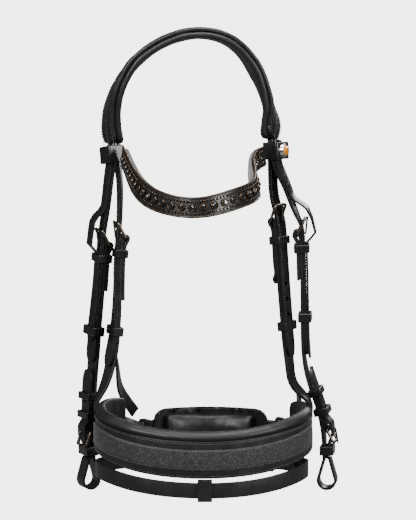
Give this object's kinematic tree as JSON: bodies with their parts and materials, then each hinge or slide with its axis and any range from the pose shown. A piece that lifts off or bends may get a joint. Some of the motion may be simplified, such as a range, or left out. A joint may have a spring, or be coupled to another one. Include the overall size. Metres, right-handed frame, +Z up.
{
  "type": "snaffle bridle",
  "caption": "Snaffle bridle with a padded anatomic headpiece, crystal browband, padded crank noseband, chin pad, flash strap and bit loops.",
  "frame": {"origin": "underside of the headpiece at the poll, midway across", "axes": "+Z up, -Y to the bridle's front (browband and noseband front), +X to the horse's near (left) side"},
  "size_m": [0.2674, 0.2307, 0.4662],
  "materials": {
    "bridle_leather": "semi-gloss black bridle leather",
    "padded_leather": "soft black padded leather",
    "lining_leather": "matt grey-brown lining",
    "trim_leather": "patterned matt black trim",
    "buckle_steel": "dark polished",
    "bezel_silver": "polished",
    "amber_crystal": "cut crystal",
    "black_crystal": "cut black crystal",
    "bronze_crystal": "cut bronze crystal"
  },
  "bodies": {
    "leather": {"headpiece_pad": "padded_leather", "headpiece_crown": "bridle_leather", "cheek_billet_near": "bridle_leather", "throatlash_billet_near": "bridle_leather", "noseband_billet_near": "bridle_leather", "cheek_billet_off": "bridle_leather", "throatlash_billet_off": "bridle_leather", "noseband_billet_off": "bridle_leather", "cheekpiece_near": "bridle_leather", "cheekpiece_off": "bridle_leather", "cheek_buckle_near": "buckle_steel", "cheek_buckle_off": "buckle_steel", "cheek_keepers": "bridle_leather", "sling_buckle_near": "buckle_steel", "sling_buckle_off": "buckle_steel", "sling_keepers": "bridle_leather", "bit_buckle_near": "buckle_steel", "bit_buckle_off": "buckle_steel", "bit_chapes": "bridle_leather", "bit_keepers": "bridle_leather", "noseband_sling_near": "bridle_leather", "rear_leg_near": "bridle_leather", "noseband_sling_off": "bridle_leather", "rear_leg_off": "bridle_leather", "noseband_panel": "bridle_leather", "noseband_padding": "padded_leather", "noseband_trim": "trim_leather", "crank_strap": "bridle_leather", "crank_buckle": "buckle_steel", "crank_chape": "bridle_leather", "crank_keeper": "bridle_leather", "crank_ring": "buckle_steel", "noseband_tab": "bridle_leather", "flash_loop": "bridle_leather"},
    "browband": {"browband_base": "bridle_leather", "browband_lining": "lining_leather", "browband_large_stones": "black_crystal", "browband_small_stones": "bronze_crystal", "browband_loops": "bridle_leather", "stud_bezel": "bezel_silver", "stud_crystal": "amber_crystal"},
    "cheek_prong_near": {"cheek_prong_near": "buckle_steel"},
    "cheek_runner_near": {"cheek_runner_near": "bridle_leather"},
    "cheek_prong_off": {"cheek_prong_off": "buckle_steel"},
    "cheek_runner_off": {"cheek_runner_off": "bridle_leather"},
    "sling_prong_near": {"sling_prong_near": "buckle_steel"},
    "sling_runner_near": {"sling_runner_near": "bridle_leather"},
    "sling_prong_off": {"sling_prong_off": "buckle_steel"},
    "sling_runner_off": {"sling_runner_off": "bridle_leather"},
    "bit_prong_near": {"bit_prong_near": "buckle_steel"},
    "bit_runner_near": {"bit_runner_near": "bridle_leather"},
    "bit_prong_off": {"bit_prong_off": "buckle_steel"},
    "bit_runner_off": {"bit_runner_off": "bridle_leather"},
    "crank_prong": {"crank_prong": "buckle_steel"},
    "crank_roller": {"crank_roller": "buckle_steel"},
    "chin_pad": {"chin_pad_back": "bridle_leather", "chin_pad_cushion": "padded_leather"},
    "flash_strap": {"flash_strap": "bridle_leather", "flash_buckle": "buckle_steel"},
    "flash_prong": {"flash_prong": "buckle_steel"}
  },
  "joints": [
    {"name": "browband_slip", "type": "slide", "parent": "leather", "child": "browband", "axis": [0, 0, -1], "range_m": [0, 0.005]},
    {"name": "cheek_prong_near_lift", "type": "hinge", "parent": "leather", "child": "cheek_prong_near", "pos_m": [0.09736, 0.01068, -0.19518], "axis": [0.0867, 0.9928, 0.0825], "range_deg": [0, 8]},
    {"name": "cheek_runner_near_slip", "type": "slide", "parent": "leather", "child": "cheek_runner_near", "axis": [0.0195, 0.0354, -0.9992], "range_m": [-0.006, 0.006]},
    {"name": "cheek_prong_off_lift", "type": "hinge", "parent": "leather", "child": "cheek_prong_off", "pos_m": [-0.09402, 0.01228, -0.20612], "axis": [0.4195, -0.9055, -0.0637], "range_deg": [0, 8]},
    {"name": "cheek_runner_off_slip", "type": "slide", "parent": "leather", "child": "cheek_runner_off", "axis": [-0.1093, 0.0411, -0.9932], "range_m": [-0.006, 0.006]},
    {"name": "sling_prong_near_lift", "type": "hinge", "parent": "leather", "child": "sling_prong_near", "pos_m": [0.0754, 0.00265, -0.1813], "axis": [0.5891, 0.8067, 0.0462], "range_deg": [0, 8]},
    {"name": "sling_runner_near_slip", "type": "slide", "parent": "leather", "child": "sling_runner_near", "axis": [0.0808, -0.0094, -0.9967], "range_m": [-0.006, 0.006]},
    {"name": "sling_prong_off_lift", "type": "hinge", "parent": "leather", "child": "sling_prong_off", "pos_m": [-0.07572, -0.00008, -0.19816], "axis": [0.2633, -0.9644, 0.025], "range_deg": [0, 8]},
    {"name": "sling_runner_off_slip", "type": "slide", "parent": "leather", "child": "sling_runner_off", "axis": [-0.1308, 0.0275, -0.991], "range_m": [-0.006, 0.006]},
    {"name": "bit_prong_near_lift", "type": "hinge", "parent": "leather", "child": "bit_prong_near", "pos_m": [0.13016, 0.01353, -0.39316], "axis": [-0.2191, -0.9753, -0.0286], "range_deg": [0, 8]},
    {"name": "bit_runner_near_slip", "type": "slide", "parent": "leather", "child": "bit_runner_near", "axis": [0.2631, 0.0001, -0.9648], "range_m": [-0.004, 0.004]},
    {"name": "bit_prong_off_lift", "type": "hinge", "parent": "leather", "child": "bit_prong_off", "pos_m": [-0.11575, 0.01362, -0.39602], "axis": [-0.5086, 0.861, -0.0022], "range_deg": [0, 8]},
    {"name": "bit_runner_off_slip", "type": "slide", "parent": "leather", "child": "bit_runner_off", "axis": [-0.0125, 0.0013, -0.9999], "range_m": [-0.004, 0.004]},
    {"name": "crank_prong_lift", "type": "hinge", "parent": "leather", "child": "crank_prong", "pos_m": [-0.03782, 0.07561, -0.40502], "axis": [0.0006, 0.0003, 1], "range_deg": [0, 8]},
    {"name": "crank_roller_spin", "type": "hinge", "parent": "leather", "child": "crank_roller", "pos_m": [0.0794, 0.05929, -0.405], "axis": [0, 0, 1], "continuous": true},
    {"name": "chin_pad_slip", "type": "hinge", "parent": "leather", "child": "chin_pad", "pos_m": [0.008, -0.02, -0.405], "axis": [0, 0, 1], "range_deg": [-2, 2]},
    {"name": "flash_swing", "type": "hinge", "parent": "leather", "child": "flash_strap", "pos_m": [0.005, -0.0933, -0.4337], "axis": [-1, 0, 0], "range_deg": [0, 6]},
    {"name": "flash_prong_lift", "type": "hinge", "parent": "flash_strap", "child": "flash_prong", "pos_m": [0.07424, 0.01865, -0.4287], "axis": [-0.0034, 0.0044, -1], "range_deg": [0, 8]}
  ]
}
